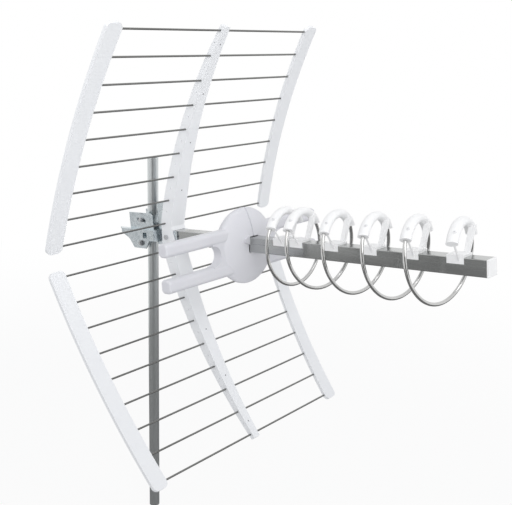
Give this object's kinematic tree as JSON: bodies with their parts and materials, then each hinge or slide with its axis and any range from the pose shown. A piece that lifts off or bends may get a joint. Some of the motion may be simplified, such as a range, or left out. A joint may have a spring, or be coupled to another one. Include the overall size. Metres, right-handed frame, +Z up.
{
  "type": "uhf television antenna",
  "caption": "High-gain UHF television antenna: curved rod reflector, dipole housing and bent loop directors on a square boom, tilted on a mast stub.",
  "frame": {"origin": "centre of the mast's foot, where the mast goes on below the antenna", "axes": "+Z up along the mast, +X forward in the plane of the boom, towards the transmitter, +Y to the antenna's left"},
  "size_m": [0.9216, 0.665, 1.2053],
  "materials": {
    "white_plastic": "satin moulded plastic, weatherproof white",
    "boom_aluminium": "extruded, satin anodised",
    "rod_aluminium": "drawn, plain",
    "loop_aluminium": "polished tube",
    "clamp_steel": "galvanised sheet, slightly blue",
    "bolt_steel": "zinc plated",
    "mast_steel": "galvanised tube",
    "board_laminate": "printed board",
    "socket_plating": "nickel plated"
  },
  "bodies": {
    "mast": {"mast_tube": "mast_steel"},
    "clamp": {"mast_bracket": "clamp_steel", "u_bolts": "bolt_steel", "u_bolt_nuts": "bolt_steel", "pivot_bolts": "bolt_steel", "pivot_nuts": "bolt_steel", "lock_bolts": "bolt_steel", "lock_nuts": "bolt_steel"},
    "antenna": {"tilt_bracket": "clamp_steel", "boom": "boom_aluminium", "boom_front_cap": "white_plastic", "boom_rear_cap": "white_plastic", "upper_rib": "white_plastic", "lower_rib": "white_plastic", "rib_bolts": "bolt_steel", "housing_rear_shell": "white_plastic", "housing_front_shell": "white_plastic", "dipole_right": "rod_aluminium", "dipole_left": "rod_aluminium", "matching_board": "board_laminate", "aerial_socket": "socket_plating", "upper_rod_1": "rod_aluminium", "upper_rod_2": "rod_aluminium", "upper_rod_3": "rod_aluminium", "upper_rod_4": "rod_aluminium", "upper_rod_5": "rod_aluminium", "upper_rod_6": "rod_aluminium", "upper_rod_7": "rod_aluminium", "upper_rod_8": "rod_aluminium", "upper_rod_9": "rod_aluminium", "lower_rod_1": "rod_aluminium", "lower_rod_2": "rod_aluminium", "lower_rod_3": "rod_aluminium", "lower_rod_4": "rod_aluminium", "lower_rod_5": "rod_aluminium", "lower_rod_6": "rod_aluminium", "lower_rod_7": "rod_aluminium", "lower_rod_8": "rod_aluminium", "lower_rod_9": "rod_aluminium", "upper_rail_left": "white_plastic", "upper_rail_right": "white_plastic", "lower_rail_left": "white_plastic", "lower_rail_right": "white_plastic", "director_bracket_1": "white_plastic", "director_bracket_2": "white_plastic", "director_bracket_3": "white_plastic", "director_bracket_4": "white_plastic", "director_bracket_5": "white_plastic", "director_bracket_6": "white_plastic", "director_loop_1": "loop_aluminium", "director_loop_2": "loop_aluminium", "director_loop_3": "loop_aluminium", "director_loop_4": "loop_aluminium", "director_loop_5": "loop_aluminium"}
  },
  "joints": [
    {"name": "azimuth", "type": "hinge", "parent": "mast", "child": "clamp", "pos_m": [0, 0, 0.728], "axis": [0, 0, 1], "continuous": true},
    {"name": "tilt", "type": "hinge", "parent": "clamp", "child": "antenna", "pos_m": [-0.01, 0, 0.708], "axis": [0, -1, 0], "range_deg": [-12, 12]}
  ]
}
